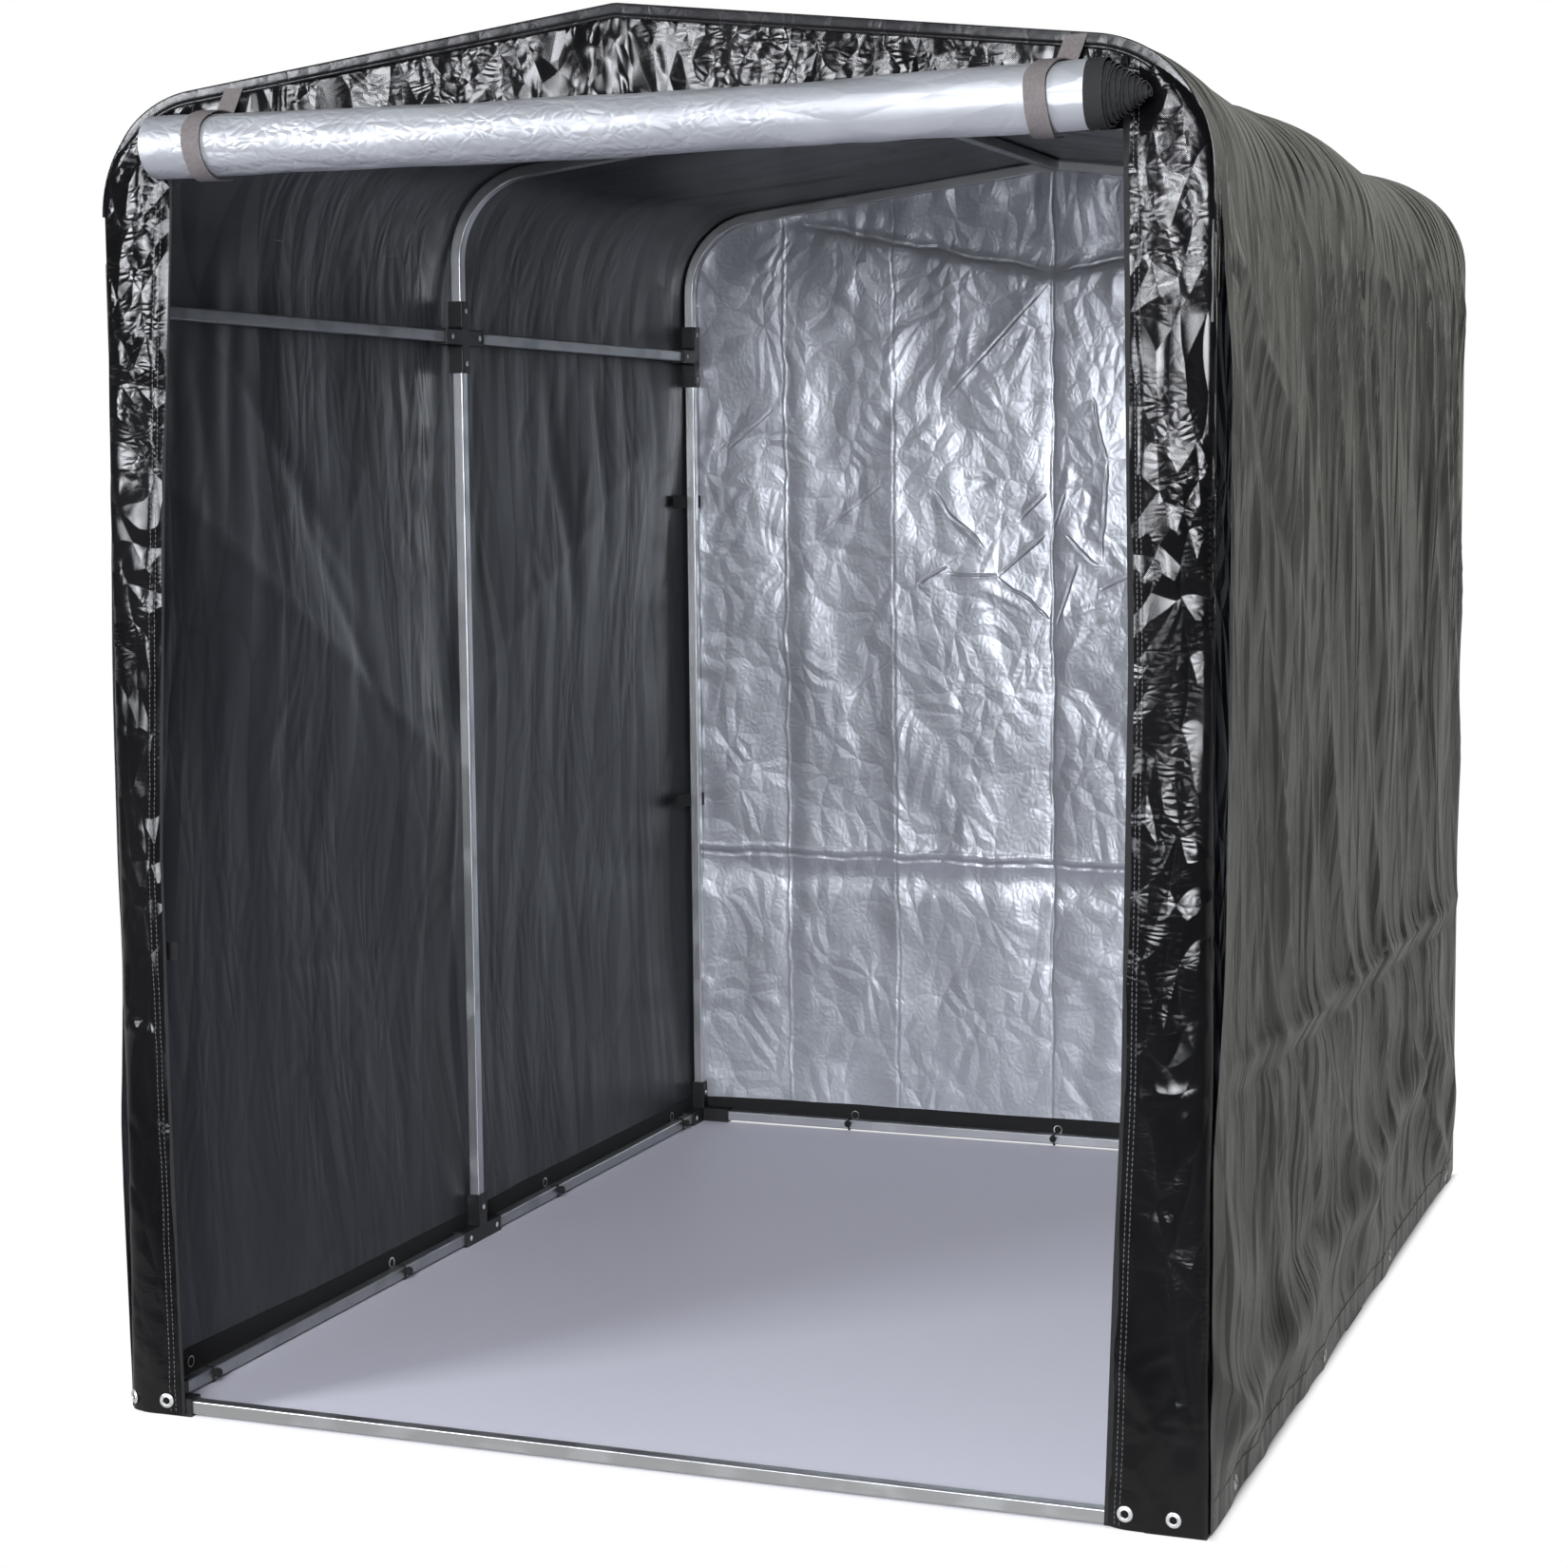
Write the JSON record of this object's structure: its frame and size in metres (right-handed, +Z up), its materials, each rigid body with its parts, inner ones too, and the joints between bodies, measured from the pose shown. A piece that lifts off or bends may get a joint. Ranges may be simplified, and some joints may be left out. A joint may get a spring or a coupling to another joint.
{
  "type": "bike shelter",
  "caption": "Walk-in bike shelter: gabled hoops of square tube joined by black sleeve fittings, under a fitted sheet cover with a rolled-up front door held by webbing straps.",
  "frame": {"origin": "on the ground, at the middle of the shelter's overall box", "axes": "+Z up, the doorway faces -Y, +X to the right of someone looking in through the doorway"},
  "size_m": [1.6196, 2.2426, 2.0117],
  "materials": {
    "aluminium_tube": "satin mill finish",
    "black_fitting": "moulded, matt",
    "cover_sheet": "woven coated sheet, glossy black outside and silver grey inside",
    "silver_sheet": "woven coated sheet, satin silver side out",
    "hook_tape": "black hook-and-loop tape",
    "webbing": "woven webbing"
  },
  "bodies": {
    "root": {"corner_leg_ties": "hook_tape", "cover_left_wall": "cover_sheet", "cover_rear_wall": "cover_sheet", "cover_right_wall": "cover_sheet", "cover_roof": "cover_sheet", "door_left_strap": "webbing", "door_right_strap": "webbing", "door_roll": "silver_sheet", "front_base_rail": "aluminium_tube", "front_gable_panel": "cover_sheet", "front_left_base_fitting": "black_fitting", "front_left_bow": "aluminium_tube", "front_left_leg": "aluminium_tube", "front_left_side_fitting": "black_fitting", "front_left_strip": "cover_sheet", "front_right_base_fitting": "black_fitting", "front_right_bow": "aluminium_tube", "front_right_leg": "aluminium_tube", "front_right_side_fitting": "black_fitting", "front_right_strip": "cover_sheet", "left_base_rails": "aluminium_tube", "left_purlins": "aluminium_tube", "middle_left_base_fitting": "black_fitting", "middle_left_bow": "aluminium_tube", "middle_left_leg": "aluminium_tube", "middle_left_side_fitting": "black_fitting", "middle_right_base_fitting": "black_fitting", "middle_right_bow": "aluminium_tube", "middle_right_leg": "aluminium_tube", "middle_right_side_fitting": "black_fitting", "rear_base_rail": "aluminium_tube", "rear_left_base_fitting": "black_fitting", "rear_left_bow": "aluminium_tube", "rear_left_leg": "aluminium_tube", "rear_left_side_fitting": "black_fitting", "rear_right_base_fitting": "black_fitting", "rear_right_bow": "aluminium_tube", "rear_right_leg": "aluminium_tube", "rear_right_side_fitting": "black_fitting", "ridge_purlins": "aluminium_tube", "right_base_rails": "aluminium_tube", "right_purlins": "aluminium_tube"}
  },
  "joints": []
}
